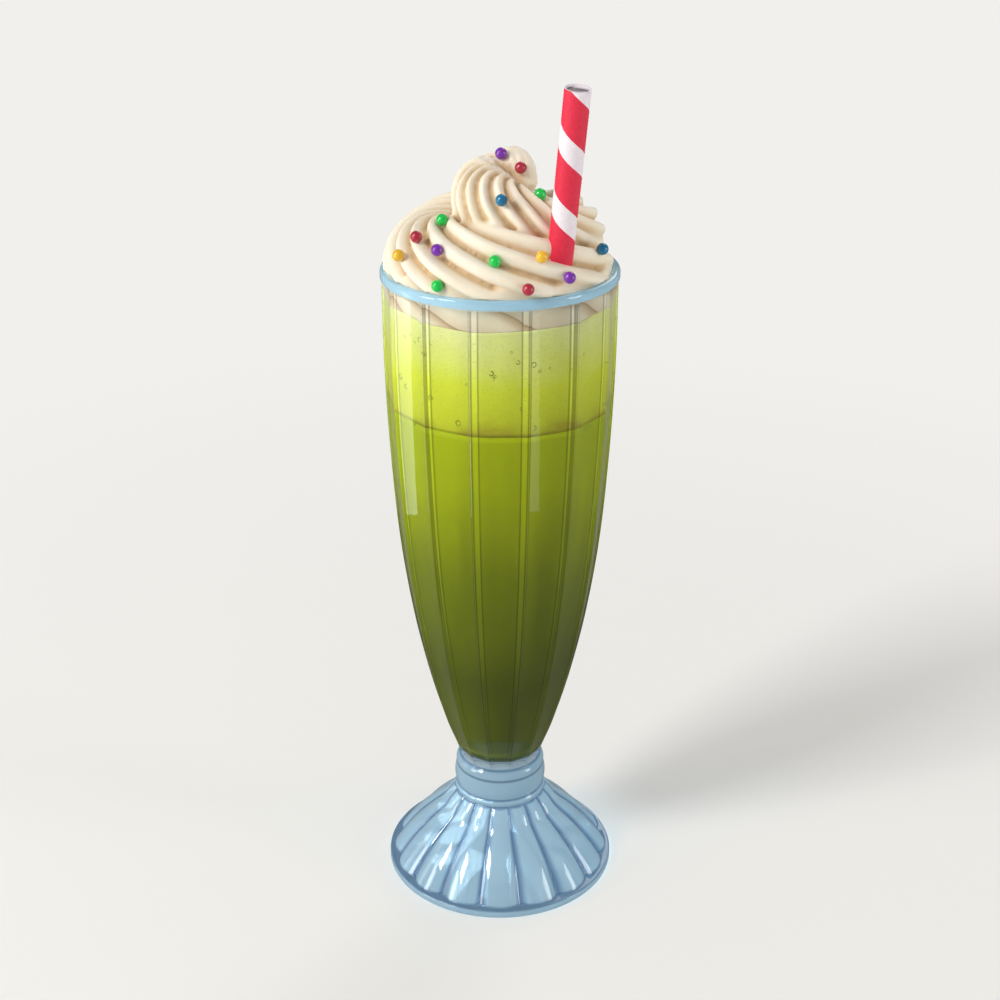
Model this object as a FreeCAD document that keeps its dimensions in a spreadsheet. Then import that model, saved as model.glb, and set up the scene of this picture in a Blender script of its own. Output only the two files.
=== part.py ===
import FreeCAD, Part
import math
import os
import re

import Sketcher
from FreeCAD import Placement, Rotation, Vector

# A matcha milkshake in a tall footed soda glass, in millimetres.
# Origin: the middle of the foot's underside, +Z up, -Y the front. The straw leans
# towards the front right.
# Nodes: glass, matcha_shake, matcha_foam, whipped_cream and straw.

doc = FreeCAD.newDocument("MatchaMilkshake")

# ---- driving dimensions -------------------------------------------------------------

DIMENSIONS = {
    "glass_height": 240,       # table to the top of the rim
    "rim_radius": 40.3,        # bowl at its rim, over the ribs
    "wall": 2.8,               # glass between a rib and the drink
    "neck_radius": 15.2,       # where the bowl stands on the collar
    "bowl_round": 4,           # height of the drink's rounded bottom
    "panel_count": 14,         # flat panels round the bowl
    "rib_width": 1.7,          # raised rib between two panels, at the rim
    "panel_hollow": 0.45,      # how far a panel is dished, at the rim
    "bead_height": 3.2,        # plain band round the mouth
    "bead_overhang": 0.45,     # how far the band stands out from the bowl
    "foot_radius": 43.4,
    "foot_height": 31,         # table to the collar's lowest ring
    "lip_height": 3,           # plain rim round the foot
    "lip_width": 1.7,          # lip left outside the petals
    "petal_count": 16,         # rounded petals round the foot
    "petal_groove": 2.1,       # depth of the groove between petals, at the lip
    "shoulder_radius": 17.2,   # foot just under the collar
    "collar_radius": 16.5,     # bottom of the grooves between the collar's rings
    "ring_low": 3.1,           # heights of the collar's three rings
    "ring_mid": 8.5,
    "ring_top": 4.1,
    "ring_bulge": 0.85,        # how far a ring swells out
    "fill_gap": 10.55,         # rim to the top of the froth
    "foam_depth": 37.4,        # pale froth on the shake
    "straw_diameter": 8.6,
    "straw_wall": 0.5,
    "straw_rise": 65.4,        # rim to the middle of the straw's top
    "straw_tilt": 8.3,         # degrees off upright
    "straw_heading": -56.8,    # the way it leans, in degrees from +X
    "straw_foot_x": 3.4,       # middle of its lower end
    "straw_foot_y": -1.5,
    "straw_seat": 0.02,        # running clearance under the straw
    "cream_height": 40.5,      # rim to the top of the piped swirl
    "cream_ridges": 12,        # points of the star nozzle
    "ridge_depth": 0.15,       # groove between ridges, as a share of the rope's radius
    "ridge_twist": 1.0,        # how far the ridges wind, as a share of the roll in SWIRL
}

sizes = doc.addObject("Spreadsheet::Sheet", "Sizes")
for row, (alias, number) in enumerate(DIMENSIONS.items(), start=1):
    sizes.set(f"A{row}", alias)
    sizes.set(f"B{row}", str(number))
    sizes.setAlias(f"B{row}", alias)
doc.recompute()

NECK = "(foot_height + ring_low + ring_mid + ring_top)"
BOWL = f"(glass_height - {NECK})"
BEAD = "(glass_height - bead_height)"
PETAL_RADIUS = "(foot_radius - lip_width)"

# Shares of the way from neck to rim, first in height and then in radius.
BOWL_CURVE = [(0, 0), (0.038, 0.096), (0.1, 0.27), (0.193, 0.466), (0.317, 0.667),
              (0.472, 0.837), (0.648, 0.942), (0.824, 0.996), (1, 1)]
# Shares of the way from lip to collar in height, and from collar to lip in radius.
FOOT_CURVE = [(0, 1), (0.07, 0.947), (0.21, 0.833), (0.39, 0.661), (0.57, 0.457),
              (0.75, 0.227), (0.89, 0.11), (1, 0)]

FLOOR = f"({NECK} + {BOWL} * {BOWL_CURVE[1][0]} - bowl_round)"
FOAM_TOP = "(glass_height - fill_gap)"
SHAKE_TOP = f"({FOAM_TOP} - foam_depth)"


def size(expression):
    """The number that an expression in the sheet's aliases works out to."""
    return float(sizes.evalExpression(str(expression)))


def bind(target, prop, expression):
    """Tie a property of an object to the sheet."""
    text = re.sub(r"[a-z_]+", lambda word: sheetName(word[0]), str(expression))
    target.setExpression(prop, text)


def sheetName(word):
    return f"Sizes.{word}" if word in DIMENSIONS else word


# ---- sketches and lofts -------------------------------------------------------------

def newBody(name, label):
    body = doc.addObject("PartDesign::Body", name)
    body.Label = label
    return body


def originFeature(body, role):
    return next(item for item in body.Origin.OriginFeatures if item.Role == role)


def newSketch(body, name, plane, height=None):
    """Sketch on an origin plane, raised by an expression."""
    sketch = body.newObject("Sketcher::SketchObject", name)
    sketch.AttachmentSupport = [(originFeature(body, plane), "")]
    sketch.MapMode = "FlatFace"
    if height is not None:
        bind(sketch, "AttachmentOffset.Base.z", height)
    return sketch


def constrain(sketch, name, constraint, expression):
    """Add a named size to a sketch and tie it to the sheet."""
    index = sketch.addConstraint(constraint)
    sketch.renameConstraint(index, name)
    bind(sketch, f"Constraints.{name}", expression)


def circleSketch(body, name, height, radius):
    """Circle round the body's axis."""
    sketch = newSketch(body, name, "XY_Plane", height)
    sketch.addGeometry(Part.Circle(Vector(), Vector(0, 0, 1), size(radius)))
    constrain(sketch, "radius", Sketcher.Constraint("Radius", 0, size(radius)), radius)
    sketch.addConstraint(Sketcher.Constraint("Coincident", 0, 3, -1, 1))
    return sketch


def arcSketch(body, name, height, corners, curves):
    """Ring of arcs on an upright axis: (radius, outward) curves take turns."""
    sketch = newSketch(body, name, "XY_Plane", height)
    points = [Vector(size(x), size(y), 0) for x, y in corners]
    for side, start in enumerate(points):
        radius, outward = curves[side % len(curves)]
        end = points[(side + 1) % len(points)]
        sketch.addGeometry(bulge(start, end, size(radius), outward))
    for side, (x, y) in enumerate(corners):
        following = (side + 1) % len(corners)
        tail = tailOf(curves[side % len(curves)])
        head = 3 - tail
        next_tail = tailOf(curves[following % len(curves)])
        joint = Sketcher.Constraint("Coincident", side, head, following, next_tail)
        sketch.addConstraint(joint)
        across = Sketcher.Constraint("DistanceX", -1, 1, side, tail, points[side].x)
        constrain(sketch, f"x{side}", across, x)
        up = Sketcher.Constraint("DistanceY", -1, 1, side, tail, points[side].y)
        constrain(sketch, f"y{side}", up, y)
        if side >= len(curves):
            sketch.addConstraint(Sketcher.Constraint("Equal", side % len(curves), side))
    for side, (radius, outward) in enumerate(curves):
        curve = Sketcher.Constraint("Radius", side, size(radius))
        constrain(sketch, f"r{side}", curve, radius)
    return sketch


def tailOf(curve):
    """Which end of an arc comes first: a sketch runs every arc anticlockwise."""
    return 1 if curve[1] else 2


def polar(radius, angle):
    """A point at an angle from -Y, as two expressions."""
    return f"({radius}) * sin({angle})", f"-({radius}) * cos({angle})"


def scallopSketch(body, name, height, crest, cusp, count):
    """Ring of equal swells that meet in cusps, with one swell's middle facing -Y."""
    half = f"(180 / {count})"
    rise = f"(({crest}) - ({cusp}) * cos{half})"
    curve = f"(({rise} ^ 2 + (({cusp}) * sin{half}) ^ 2) / (2 * {rise}))"
    corners = [polar(cusp, f"{2 * step - 1} * {half}")
               for step in range(round(size(count)))]
    return arcSketch(body, name, height, corners, [(curve, True)])


def panelSketch(body, name, height, radius):
    """Ring of dished panels between raised ribs, with one panel's middle facing -Y."""
    ratio = f"(({radius}) / rim_radius)"
    half = "(180 / panel_count - asin(rib_width / 2 / rim_radius) / 1deg)"
    chord = f"(({radius}) * sin({half}))"
    dish = f"(panel_hollow * {ratio})"
    curve = f"(({chord} ^ 2 + {dish} ^ 2) / (2 * {dish}))"
    corners = []
    for step in range(round(size("panel_count"))):
        middle = f"{2 * step} * 180 / panel_count"
        corners += [polar(radius, f"{middle} - {half}"), polar(radius, f"{middle} + {half}")]
    return arcSketch(body, name, height, corners, [(curve, False), (radius, True)])


def loft(body, kind, name, sections, outline=circleSketch):
    """Smooth loft through outlines, each given as its height and its sizes."""
    rings = [outline(body, f"{name}_{number}", *section)
             for number, section in enumerate(sections)]
    shape = body.newObject(f"PartDesign::{kind}Loft", name)
    shape.Profile = rings[0]
    shape.Sections = rings[1:]
    finish(body)


def finish(body):
    """Work the body out, and stop if its last feature failed."""
    doc.recompute()
    last = body.Tip
    if "Invalid" in last.State or "Error" in last.State or last.Shape.isNull():
        raise RuntimeError(f"{body.Name}.{last.Name} failed")


def outlineSketch(body, name, corners, arcs):
    """Closed outline in the XZ plane; arcs maps a side's number to its radius."""
    sketch = newSketch(body, name, "XZ_Plane")
    points = [Vector(size(x), size(z), 0) for x, z in corners]
    for side, start in enumerate(points):
        end = points[(side + 1) % len(points)]
        if side in arcs:
            sketch.addGeometry(bulge(start, end, size(arcs[side])))
        else:
            sketch.addGeometry(Part.LineSegment(start, end))
    for side, (x, z) in enumerate(corners):
        following = (side + 1) % len(corners)
        sketch.addConstraint(Sketcher.Constraint("Coincident", side, 2, following, 1))
        if x == "0":
            sketch.addConstraint(Sketcher.Constraint("PointOnObject", side, 1, -2))
        else:
            across = Sketcher.Constraint("DistanceX", -1, 1, side, 1, points[side].x)
            constrain(sketch, f"x{side}", across, x)
        up = Sketcher.Constraint("DistanceY", -1, 1, side, 1, points[side].y)
        constrain(sketch, f"z{side}", up, z)
    for side, radius in arcs.items():
        curve = Sketcher.Constraint("Radius", side, size(radius))
        constrain(sketch, f"r{side}", curve, radius)
    return sketch


def bulge(start, end, radius, outward=True):
    """Arc from start to end that swells to the right of the way it runs, or left."""
    chord = end - start
    aside = Vector(chord.y, -chord.x, 0).normalize() * (1 if outward else -1)
    rise = radius - math.sqrt(radius ** 2 - chord.Length ** 2 / 4)
    return Part.Arc(start, (start + end) * 0.5 + aside * rise, end)


def revolve(body, name, sketch, additive=True):
    kind = "Revolution" if additive else "Groove"
    turned = body.newObject(f"PartDesign::{kind}", name)
    turned.Profile = sketch
    turned.ReferenceAxis = (sketch, ["V_Axis"])
    turned.Angle = 360
    finish(body)


def fillet(body, name, radius, heights):
    """Round every level edge of the body that lies at one of the heights."""
    levels = [size(height) for height in heights]
    base = body.Tip
    names = [f"Edge{number}" for number, edge in enumerate(base.Shape.Edges, start=1)
             if edge.BoundBox.ZLength < 0.001
             and min(abs(edge.BoundBox.ZMin - level) for level in levels) < 0.001]
    rounding = body.newObject("PartDesign::Fillet", name)
    rounding.Base = (base, names)
    bind(rounding, "Radius", radius)
    finish(body)


# ---- glass --------------------------------------------------------------------------

def bowlRadius(share):
    return f"(neck_radius + (rim_radius - neck_radius) * {share})"


def bowlSections(inset="0"):
    """The bowl's rings from neck to rim, less inset all round."""
    return [(f"{NECK} + {BOWL} * {up}", f"({bowlRadius(out)} - {inset})")
            for up, out in BOWL_CURVE]


def addRoom(body, additive):
    """The room inside the bowl: a rounded floor, then rings up to the rim."""
    kind = "Additive" if additive else "Subtractive"
    rings = bowlSections("wall")[1:]
    height, radius = rings[0]
    slope = 20
    curve = f"bowl_round / (1 - sin({slope}))"
    flat = f"{radius} - {curve} * cos({slope})"
    corners = [("0", FLOOR), (flat, FLOOR), (radius, height), ("0", height)]
    outline = outlineSketch(body, "Floor_outline", corners, {1: curve})
    revolve(body, "Floor", outline, additive)
    loft(body, kind, "Room", rings)


def footRadius(share):
    return f"(shoulder_radius + ({PETAL_RADIUS} - shoulder_radius) * {share})"


def footHeight(share):
    return f"lip_height + (foot_height - lip_height) * {share}"


def petalSections():
    """Scalloped rings of the foot, from its lip up to the collar."""
    groove = f"(1 - petal_groove / {PETAL_RADIUS})"
    return [(footHeight(up), footRadius(out), f"{footRadius(out)} * {groove}",
             "petal_count") for up, out in FOOT_CURVE]


def ringRadius(height, inset="0"):
    """Radius of the arc that swells by ring_bulge over a ring's height."""
    return f"((({height}) ^ 2 + ({inset}) ^ 2) / 4 + ring_bulge ^ 2) / (2 * ring_bulge)"


def addCollar(body):
    """Stem with three rounded rings between foot and bowl."""
    stem = "collar_radius * 0.8"
    low = "foot_height"
    mid = f"{low} + ring_low"
    top = f"{mid} + ring_mid"
    corners = [("0", "lip_height"), (stem, "lip_height"), (stem, low),
               ("collar_radius", low), ("collar_radius", mid), ("collar_radius", top),
               ("neck_radius", NECK), ("0", NECK)]
    arcs = {3: ringRadius("ring_low"), 4: ringRadius("ring_mid"),
            5: ringRadius("ring_top", "collar_radius - neck_radius")}
    revolve(body, "Collar", outlineSketch(body, "Collar_outline", corners, arcs))


def addBead(body):
    """Plain band round the mouth, on which the panels end."""
    band = body.newObject("PartDesign::Pad", "Bead")
    radius = "rim_radius + bead_overhang"
    band.Profile = circleSketch(body, "Bead_outline", BEAD, radius)
    bind(band, "Length", "bead_height")
    finish(body)


def addLip(body):
    """Flat disc under the petals."""
    disc = body.newObject("PartDesign::Pad", "Lip")
    disc.Profile = circleSketch(body, "Lip_outline", None, "foot_radius")
    bind(disc, "Length", "lip_height")
    finish(body)
    fillet(body, "Lip_rounding", "lip_height * 0.25", ["0", "lip_height"])


def makeGlass():
    """Foot, collar, ribbed bowl and band, with the room for the drink cut out."""
    body = newBody("Glass", "glass")
    addLip(body)
    loft(body, "Additive", "Petals", petalSections(), scallopSketch)
    addCollar(body)
    loft(body, "Additive", "Bowl", bowlSections(), panelSketch)
    addBead(body)
    addRoom(body, additive=False)
    fillet(body, "Rim_rounding", "wall * 0.42", ["glass_height"])
    return body


# ---- straw --------------------------------------------------------------------------

def leaningRod(name, radius):
    """Cylinder along the straw's axis, which stands on the bowl's floor."""
    rod = doc.addObject("Part::Cylinder", name)
    foot = f"({FLOOR} + straw_seat + straw_diameter / 2 * sin(straw_tilt))"
    bind(rod, "Radius", radius)
    bind(rod, "Height", f"(glass_height + straw_rise - {foot}) / cos(straw_tilt)")
    level = Vector(size("-sin(straw_heading)"), size("cos(straw_heading)"), 0)
    rod.Placement = Placement(Vector(), Rotation(level, size("straw_tilt")))
    bind(rod, "Placement.Rotation.Axis.x", "-sin(straw_heading)")
    bind(rod, "Placement.Rotation.Axis.y", "cos(straw_heading)")
    bind(rod, "Placement.Rotation.Angle", "straw_tilt")
    bind(rod, "Placement.Base.x", "straw_foot_x")
    bind(rod, "Placement.Base.y", "straw_foot_y")
    bind(rod, "Placement.Base.z", foot)
    return rod


def combine(kind, name, base, tool, label=None):
    """Part workbench boolean of two objects."""
    result = doc.addObject(f"Part::{kind}", name)
    result.Base = base
    result.Tool = tool
    result.Label = label or name
    return result


# ---- drink --------------------------------------------------------------------------

def layer(name, low, high):
    """Disc that picks one level of the drink."""
    disc = doc.addObject("Part::Cylinder", name)
    bind(disc, "Radius", "rim_radius")
    bind(disc, "Height", f"{high} - {low}")
    bind(disc, "Placement.Base.z", low)
    return disc


def makeDrink(rod):
    room = newBody("Drink_room", "drink_room")
    addRoom(room, additive=True)
    shake = combine("Common", "Shake_level", room, layer("Shake_disc", FLOOR, SHAKE_TOP))
    foam = combine("Common", "Foam_level", room, layer("Foam_disc", SHAKE_TOP, FOAM_TOP))
    return [combine("Cut", "Shake", shake, rod, "matcha_shake"),
            combine("Cut", "Foam", foam, rod, "matcha_foam")]


# ---- whipped cream ------------------------------------------------------------------

# The piped rope, seen from above, winds clockwise from the right: degrees turned, then
# reach and thickness as shares of the rim's radius, height as a share of the cream's,
# and how many degrees the nozzle has rolled.
SWIRL = [(-22, 0.546, 0.372, -0.10, 0), (22, 0.54, 0.442, 0.0, 25),
         (112, 0.54, 0.447, 0.08, 95), (180, 0.54, 0.447, 0.03, 195),
         (245, 0.51, 0.397, 0.155, 310), (290, 0.51, 0.372, 0.16, 370),
         (337, 0.54, 0.372, 0.207, 415), (382, 0.514, 0.332, 0.27, 460),
         (427, 0.36, 0.323, 0.425, 530), (472, 0.22, 0.31, 0.56, 600),
         (517, 0.134, 0.28, 0.642, 670), (607, 0.065, 0.231, 0.726, 800),
         (652, 0.082, 0.201, 0.775, 860), (700, 0.129, 0.149, 0.845, 915),
         (728, 0.2, 0.119, 0.778, 940), (742, 0.268, 0.067, 0.68, 950)]
ROPE_STEPS = 12        # beads of the rope between two stations
AROUND = 144           # poles of the cream's surface round the glass
UPWARDS = 34           # poles from the rim to the top
CORE_RISE = 0.36       # ball in the coil's middle: height and radius, as in SWIRL
CORE_SPREAD = 0.34
FINE = 1e-4            # tolerance for closing the skin


def blend(before, start, end, after, share):
    """Smooth curve from start to end that also heeds their neighbours."""
    return 0.5 * (2 * start + (end - before) * share
                  + (2 * before - 5 * start + 4 * end - after) * share ** 2
                  + (3 * start - before - 3 * end + after) * share ** 3)


def ropeBeads():
    """Centre, radius and roll of the round beads that make up the piped rope."""
    reach, rise = size("rim_radius"), size("cream_height")
    beads = []
    for number in range(len(SWIRL) - 1):
        last = len(SWIRL) - 1
        four = [SWIRL[min(max(number + step, 0), last)] for step in (-1, 0, 1, 2)]
        for step in range(ROPE_STEPS):
            turn, out, thick, up, roll = [blend(*values, step / ROPE_STEPS)
                                          for values in zip(*four)]
            angle = math.radians(-turn)
            centre = Vector(out * reach * math.cos(angle), out * reach * math.sin(angle),
                            up * rise)
            beads.append((centre, thick * reach, math.radians(roll)))
    return beads


def coreBead():
    """Ball of cream that fills the middle of the coil."""
    return Vector(0, 0, CORE_RISE * size("cream_height")), CORE_SPREAD * size("rim_radius")


def reachOf(ball, heading):
    """How far a ball reaches along a heading from the rim's centre."""
    centre, radius = ball[:2]
    along = centre.dot(heading)
    beside = radius ** 2 - centre.dot(centre) + along ** 2
    return along + math.sqrt(beside) if beside > 0 else 0


def ridgeShare(beads, number, point):
    """1 on top of a ridge left by the star nozzle, 0 at the bottom of a groove."""
    centre, radius, roll = beads[number]
    forward = (beads[min(number + 1, len(beads) - 1)][0]
               - beads[max(number - 1, 0)][0]).normalize()
    up = (Vector(0, 0, 1) - forward * forward.z).normalize()
    side = forward.cross(up)
    round_rope = math.atan2((point - centre).dot(side), (point - centre).dot(up))
    phase = size("cream_ridges") / 2 * (round_rope - roll * size("ridge_twist"))
    return math.cos(phase) ** 2


def skinPoint(beads, core, heading):
    """Where the piped rope's grooved skin, or the core, lies along a heading."""
    reaches = [reachOf(bead, heading) for bead in beads]
    reach = max(reaches)
    if reach < reachOf(core, heading):
        return heading * reachOf(core, heading)
    number = reaches.index(reach)
    ridge = ridgeShare(beads, number, heading * reach)
    groove = beads[number][1] * size("ridge_depth") * (1 - ridge)
    return heading * (reach - groove)


def makeCream():
    """Piped swirl as one smooth skin round the rim's centre, closed underneath."""
    beads = ropeBeads()
    core = coreBead()
    rim = Vector(0, 0, size("glass_height"))
    skirt = size("rim_radius - wall / 2")
    bottom = size(FOAM_TOP)
    around = [math.tau * step / AROUND for step in range(AROUND)]
    rows = [[Vector(skirt * math.cos(angle), skirt * math.sin(angle), height)
             for angle in around] for height in (bottom, (bottom + rim.z) / 2, rim.z)]
    for step in range(UPWARDS):
        climb = math.pi / 2 * step / (UPWARDS - 1)
        headings = [Vector(math.cos(climb) * math.cos(angle),
                           math.cos(climb) * math.sin(angle), math.sin(climb))
                    for angle in around]
        rows.append([rim + skinPoint(beads, core, heading) for heading in headings])
    peak = rows[-1][0]
    rows[-1] = [peak] * AROUND
    skin = Part.BSplineSurface()
    spans = len(rows) - 3
    skin.buildFromPolesMultsKnots(
        [list(column) for column in zip(*rows)],
        [1] * (AROUND + 1), [4] + [1] * (spans - 1) + [4],
        list(range(AROUND + 1)), list(range(spans + 1)), True, False, 3, 3)
    dome = Part.Face(skin)
    base = Part.Face(Part.Wire([edge for edge in dome.Edges
                                if edge.BoundBox.ZLength < 0.01
                                and abs(edge.BoundBox.ZMin - bottom) < 0.01]))
    swirl = doc.addObject("Part::Feature", "Swirl")
    solid = Part.Solid(Part.Shell([dome, base]))
    solid.fix(FINE, FINE, 10 * FINE)
    swirl.Shape = solid
    return swirl


# ---- the whole ----------------------------------------------------------------------

def checkDocument():
    """Stop if any object of the document failed quietly."""
    for item in doc.Objects:
        if "Invalid" in item.State or "Error" in item.State:
            raise RuntimeError(f"{item.Name} failed")


def writeNode(item):
    """Write one finished piece, which has to be one sound solid."""
    shape = item.Shape
    if shape.isNull() or not shape.isValid() or len(shape.Solids) != 1:
        raise RuntimeError(f"{item.Label} is not one valid solid")
    shape.exportStep(f"parts/{item.Label}.step")
    print(item.Label, "volume", round(shape.Volume), "mm3")


glass = makeGlass()
straw_rod = leaningRod("Straw_rod", "straw_diameter / 2")
straw_bore = leaningRod("Straw_bore", "straw_diameter / 2 - straw_wall")
straw = combine("Cut", "Straw", straw_rod, straw_bore, "straw")
shake, foam = makeDrink(straw_rod)
cream_on_rim = combine("Cut", "Cream_on_rim", makeCream(), glass)
cream = combine("Cut", "Cream", cream_on_rim, straw_rod, "whipped_cream")
doc.recompute()

checkDocument()
os.makedirs("parts", exist_ok=True)
for node in (glass, shake, foam, cream, straw):
    writeNode(node)
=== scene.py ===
import bisect
import bmesh
import bpy
import math
import random
from mathutils import Matrix, Vector, noise
from mathutils.bvhtree import BVHTree


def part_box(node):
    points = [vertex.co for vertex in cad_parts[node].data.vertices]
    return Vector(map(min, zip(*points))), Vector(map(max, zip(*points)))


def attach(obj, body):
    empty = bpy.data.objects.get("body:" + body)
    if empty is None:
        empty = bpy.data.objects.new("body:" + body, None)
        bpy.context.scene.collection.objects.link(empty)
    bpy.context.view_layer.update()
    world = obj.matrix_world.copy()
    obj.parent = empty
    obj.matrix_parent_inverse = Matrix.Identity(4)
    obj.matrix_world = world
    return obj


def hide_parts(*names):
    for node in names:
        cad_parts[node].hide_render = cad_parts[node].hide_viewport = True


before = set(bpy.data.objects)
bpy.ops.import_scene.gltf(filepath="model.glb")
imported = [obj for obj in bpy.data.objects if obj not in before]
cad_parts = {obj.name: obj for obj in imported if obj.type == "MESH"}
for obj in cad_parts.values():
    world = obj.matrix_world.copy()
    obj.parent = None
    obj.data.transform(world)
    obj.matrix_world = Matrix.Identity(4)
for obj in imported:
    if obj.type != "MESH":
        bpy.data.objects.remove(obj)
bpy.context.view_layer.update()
mm = 0.001                       # pieces are modelled in millimetres and scaled at the end
scene = bpy.context.scene


def boxOf(node):                 # a node's lowest and highest corner, in millimetres
    return [Vector(corner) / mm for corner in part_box(node)]


# levels and sizes taken from the frame
footRadius = boxOf("glass")[1].x
rimTop = boxOf("glass")[1].z
drinkFloor = boxOf("matcha_shake")[0].z
shakeTop = boxOf("matcha_foam")[0].z
foamTop = boxOf("matcha_foam")[1].z


def linear(hexCode):             # an sRGB hex colour as the linear values of a shader
    parts = [int(hexCode[place:place + 2], 16) / 255 for place in (0, 2, 4)]
    return [part / 12.92 if part <= 0.04045 else ((part + 0.055) / 1.055) ** 2.4
            for part in parts] + [1]


multiply = {"data_type": "RGBA", "blend_type": "MULTIPLY"}    # settings of a Mix node


def addNode(tree, kind, settings=None, values=None, links=None, stops=None):
    node = tree.nodes.new("ShaderNode" + kind)
    for name, value in (settings or {}).items():
        setattr(node, name, value)
    for socket, value in (values or {}).items():
        node.inputs[socket].default_value = value
    for socket, source in (links or {}).items():
        if isinstance(source, bpy.types.Node):       # a node stands for its first output
            source = source.outputs[0]
        tree.links.new(source, node.inputs[socket])
    if stops:                    # a colour ramp's places and colours
        elements = node.color_ramp.elements
        while len(elements) < len(stops):
            elements.new(0.5)
        for element, (place, colour) in zip(elements, stops):
            element.position = place
            element.color = linear(colour)
    return node


def newMaterial(name):
    material = bpy.data.materials.new(name)
    material.use_nodes = True
    material.node_tree.nodes.clear()
    return material, material.node_tree


def surfaced(material, shader, **more):      # ends a material's tree and gives the material
    addNode(material.node_tree, "OutputMaterial", links={"Surface": shader, **more})
    return material


def placeIn(tree):               # the piece's own place, in millimetres
    spot = addNode(tree, "TexCoord")
    return addNode(tree, "VectorMath", {"operation": "SCALE"}, {"Scale": 1 / mm},
                   {"Vector": spot.outputs["Object"]}).outputs["Vector"]


def makePiece(name, bm, materials, replaced=()):   # ends a mesh, hangs it on the root body and hides the parts it replaces
    bmesh.ops.scale(bm, vec=(mm, mm, mm), verts=bm.verts)
    mesh = bpy.data.meshes.new(name)
    bm.to_mesh(mesh)
    bm.free()
    for material in materials:
        mesh.materials.append(material)
    for polygon in mesh.polygons:
        polygon.use_smooth = True
    piece = bpy.data.objects.new(name, mesh)
    scene.collection.objects.link(piece)
    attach(piece, "root")
    if replaced:
        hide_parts(*replaced)
    print(name, len(mesh.polygons), "faces")


def smoothLine(points, parts):   # a smooth curve through points, with parts steps in each span
    line = []
    ends = [points[0]] + list(points) + [points[-1]]
    for before, start, end, after in zip(ends, ends[1:], ends[2:], ends[3:]):
        for part in range(parts):
            line.append(blend(before, start, end, after, part / parts))
    return line + [tuple(points[-1])]


def blend(before, start, end, after, share):     # the curve's point between start and end
    return tuple(0.5 * (2 * s + (e - b) * share + (2 * b - 5 * s + 4 * e - a) * share ** 2
                        + (3 * s - b - 3 * e + a) * share ** 3)
                 for b, s, e, a in zip(before, start, end, after))


def arcLine(start, end, swell, parts):   # an arc that swells to the right of the way it runs
    start, end = Vector(start), Vector(end)
    half = (end - start).length / 2
    aside = Vector(((end - start).y, -(end - start).x)).normalized()
    radius = (half ** 2 + swell ** 2) / (2 * swell)
    middle = (start + end) / 2 - aside * (radius - swell)
    first = math.atan2(start.y - middle.y, start.x - middle.x)
    turn = 2 * math.asin(min(1, half / radius))
    return [(middle.x + radius * math.cos(first + turn * part / parts),
             middle.y + radius * math.sin(first + turn * part / parts))
            for part in range(parts + 1)]


def cornerLine(corner, radius, start, parts):    # a quarter round about a centre
    return [(corner[0] + radius * math.cos(start + math.pi / 2 * part / parts),
             corner[1] + radius * math.sin(start + math.pi / 2 * part / parts))
            for part in range(parts + 1)]


def lineOf(bm, outline):         # vertices along an outline, joined by edges
    verts = [bm.verts.new((x, 0, z)) for x, z in outline]
    return verts, [bm.edges.new(pair) for pair in zip(verts, verts[1:])]


def turnRound(bm, verts, edges, steps):  # an outline turned round the glass's axis
    bmesh.ops.spin(bm, geom=verts + edges, cent=(0, 0, 0), axis=(0, 0, 1), angle=math.tau,
                   steps=steps, use_merge=True, use_duplicate=False)
    bmesh.ops.remove_doubles(bm, verts=bm.verts, dist=0.004)
    bmesh.ops.dissolve_degenerate(bm, edges=bm.edges, dist=0.0005)
    bmesh.ops.recalc_face_normals(bm, faces=bm.faces)


view = {"distance": 0.546, "height": 0.4026, "tilt": 24.6, "lens": 60}   # metres, degrees, mm
camera = bpy.data.objects.new("camera", bpy.data.cameras.new("camera"))
camera.data.lens = view["lens"]
camera.location = (0, -view["distance"], view["height"])
camera.rotation_euler = (math.radians(90 - view["tilt"]), 0, 0)
scene.collection.objects.link(camera)
scene.camera = camera
scene.view_settings.view_transform = "Standard"

studio = {
    "daylight": 0.42,            # strength of the even light all round
    "mirrored": 0.12,            # the same light where it is mirrored, so colours stay deep
    "aim": 0.14,                 # height in metres that the lamps face
    "floorSize": 12,             # metres
    "floorColour": "F1EFEB",
    "floorMirrored": "8C8A86",   # the floor as the glass mirrors it
    "fade": (0.15, 0.65),        # metres over which the floor turns into the backdrop
    "backdrop": "F1F0ED",        # what the camera and the glass see beyond the floor
    "gap": 0.0001,               # keeps the floor just under the glass
}
lamps = {                        # place, size across and up in metres, watts
    "key": ((-2.3, -1.5, 2.2), 0.8, 0.8, 58),
    "fill": ((1.9, -1.2, 1.0), 1.2, 1.2, 2),
    "strip": ((-1.7, -0.6, 0.45), 0.45, 1.0, 12),
    "edge": ((1.7, -0.5, 0.45), 0.45, 0.9, 9),
    "leftCard": ((-0.3, 0.03, 0.09), 0.07, 0.17, 0.07),      # streaks down the panels
    "rightCard": ((0.26, -0.16, 0.09), 0.03, 0.17, 0.015),
    "back": ((1.0, 2.4, 1.9), 1.6, 1.6, 22),
}


def makeLamps():
    for name, (place, across, up, watts) in lamps.items():
        lamp = bpy.data.objects.new(name, bpy.data.lights.new(name, "AREA"))
        lamp.data.shape = "RECTANGLE"
        lamp.data.size = across
        lamp.data.size_y = up
        lamp.data.energy = watts
        lamp.location = place
        lamp.visible_camera = False
        lamp.visible_diffuse = not name.endswith("Card")     # cards only show in the glass
        aim = Vector((0, 0, studio["aim"])) - Vector(place)
        lamp.rotation_euler = aim.to_track_quat("-Z", "Y").to_euler()
        scene.collection.objects.link(lamp)


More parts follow.
